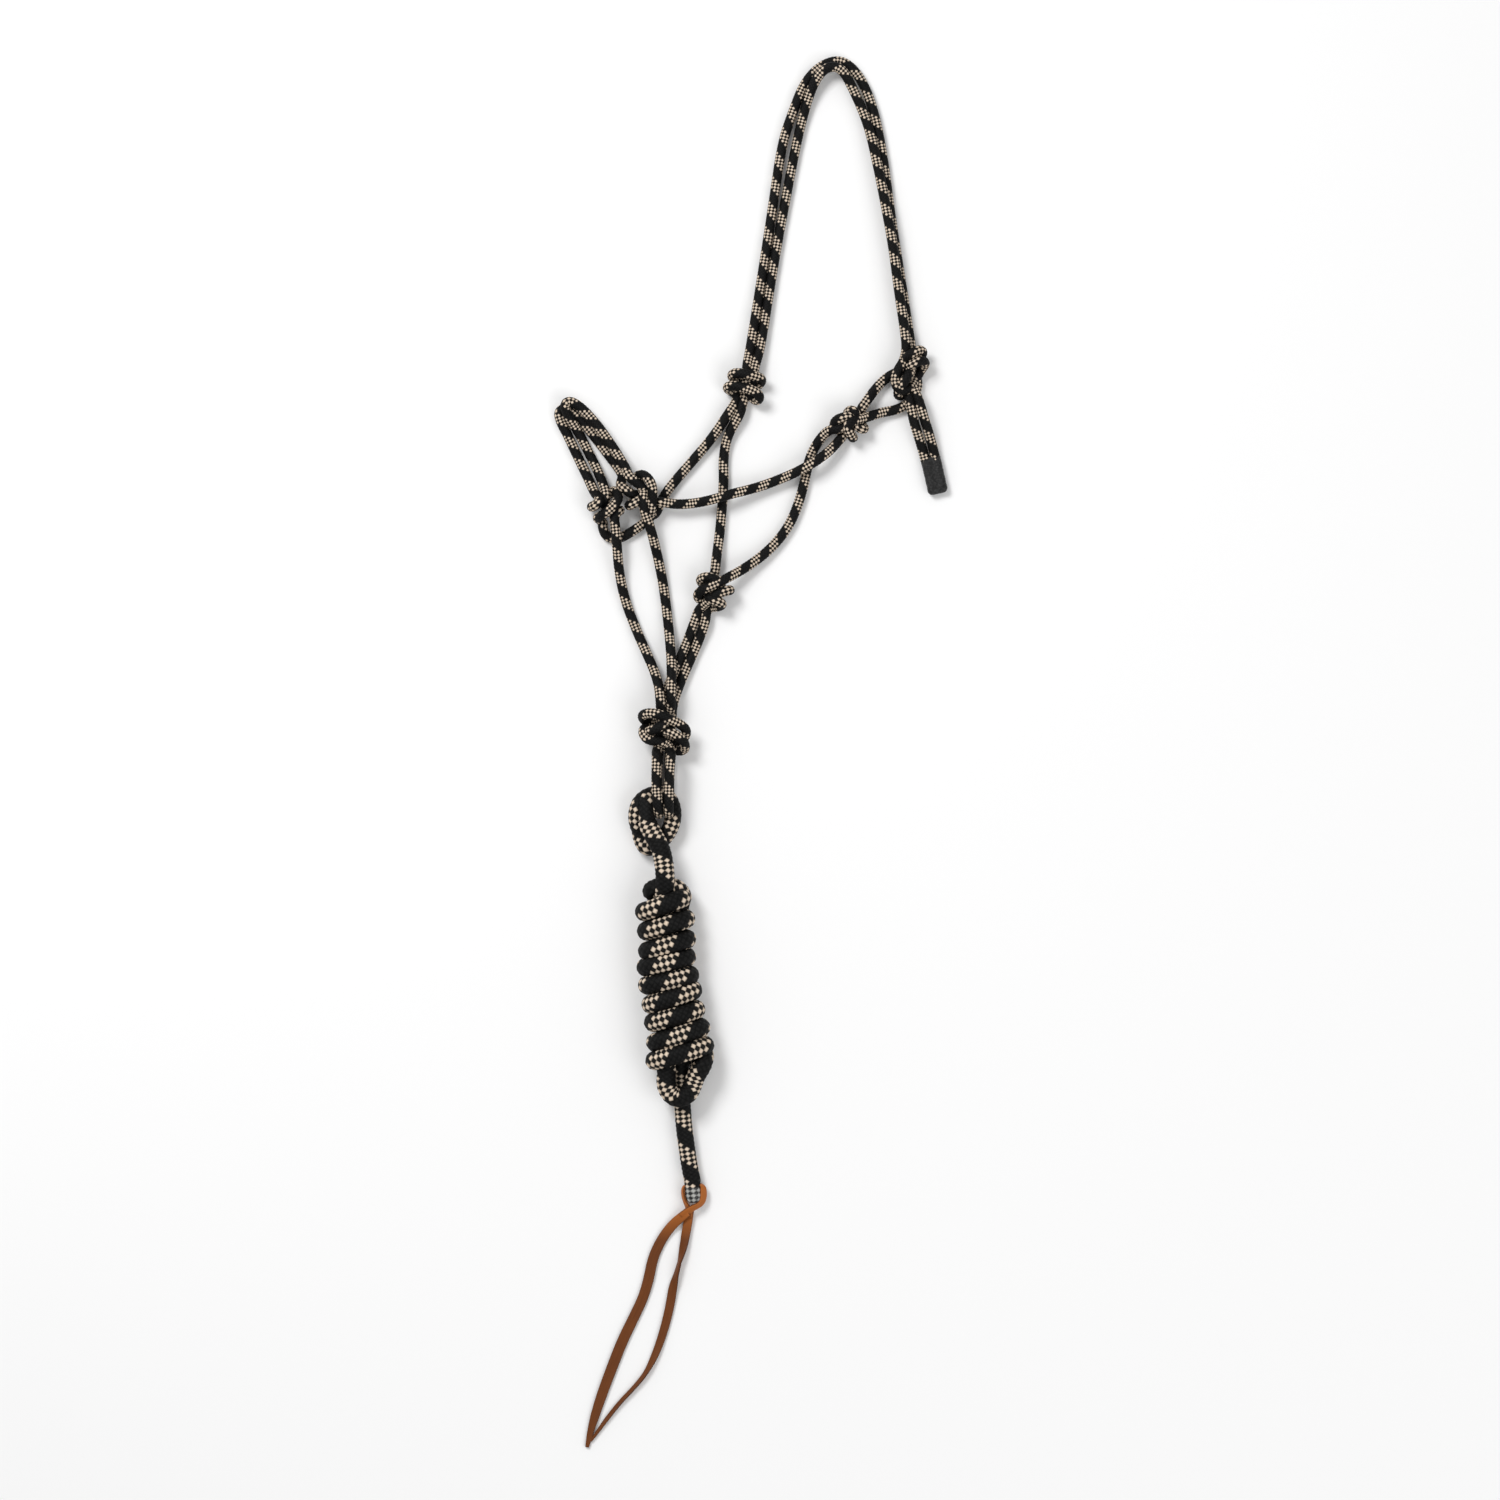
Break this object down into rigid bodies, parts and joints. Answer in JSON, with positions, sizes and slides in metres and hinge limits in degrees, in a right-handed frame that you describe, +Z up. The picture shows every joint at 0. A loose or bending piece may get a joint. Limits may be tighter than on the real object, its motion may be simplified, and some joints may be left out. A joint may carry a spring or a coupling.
{
  "type": "rope halter",
  "caption": "Rope halter tied from one braided rope, with a hitched and hanked lead rope and a leather popper on its end.",
  "frame": {"origin": "centre of the halter's footprint on the surface that it lies on", "axes": "+Y towards the poll (crown fold), -Y towards the lead's popper; +X towards the near side, where the crown ties; +Z up from the surface"},
  "size_m": [0.3382, 1.1963, 0.042],
  "materials": {
    "halter_rope": "16-plait braid of matt black yarns with a run of beige yarns",
    "lead_rope": "16-plait braid of matt black yarns with a run of beige yarns, thicker",
    "sleeve": "satin black shrink sleeve",
    "sealed_rope_end": "melted and sealed rope end, glossy",
    "leather": "rust brown strap leather, waxed grain side"
  },
  "bodies": {
    "halter": {"crown_strand_outer": "halter_rope", "crown_strand_inner": "halter_rope", "cheek_strand_far": "halter_rope", "cheek_strand_near": "halter_rope", "throat_strand_far": "halter_rope", "throat_strand_near": "halter_rope", "noseband_strand_upper": "halter_rope", "noseband_strand_lower": "halter_rope", "jaw_strand_far": "halter_rope", "jaw_strand_near": "halter_rope", "chin_strand_far": "halter_rope", "chin_strand_near": "halter_rope", "eye_loop": "halter_rope", "cheek_knot_far": "halter_rope", "cheek_knot_near": "halter_rope", "throat_knot": "halter_rope", "nose_knot_far": "halter_rope", "nose_knot_near": "halter_rope", "fiador_knot": "halter_rope", "crown_tie": "halter_rope"},
    "crown_tail": {"tail_strand_left": "halter_rope", "tail_strand_right": "halter_rope", "tail_sleeve": "sleeve"},
    "lead": {"fiador_loop_far": "halter_rope", "fiador_loop_near": "halter_rope", "lead_hitch": "lead_rope", "lead_neck": "lead_rope", "lead_hank": "lead_rope"},
    "lead_end_piece": {"lead_tail": "lead_rope", "lead_end": "sealed_rope_end"},
    "popper": {"popper_loop": "leather", "popper_knot": "leather", "popper_tail_long": "leather", "popper_tail_short": "leather"}
  },
  "joints": [
    {"name": "crown_tail_swing", "type": "hinge", "parent": "halter", "child": "crown_tail", "pos_m": [0.1367, 0.3173, 0.012], "axis": [0, 0, 1], "range_deg": [-20, 40]},
    {"name": "lead_swing", "type": "hinge", "parent": "halter", "child": "lead", "pos_m": [-0.0722, 0.0172, 0.016], "axis": [0, 0, 1], "range_deg": [-40, 40]},
    {"name": "lead_tail_swing", "type": "hinge", "parent": "lead", "child": "lead_end_piece", "pos_m": [-0.0589, -0.2821, 0.007], "axis": [0, 0, 1], "range_deg": [-35, 35]},
    {"name": "popper_lift", "type": "hinge", "parent": "lead_end_piece", "child": "popper", "pos_m": [-0.04938, -0.37247, 0.007], "axis": [-0.9954, -0.0958, 0], "range_deg": [0, 75]}
  ]
}
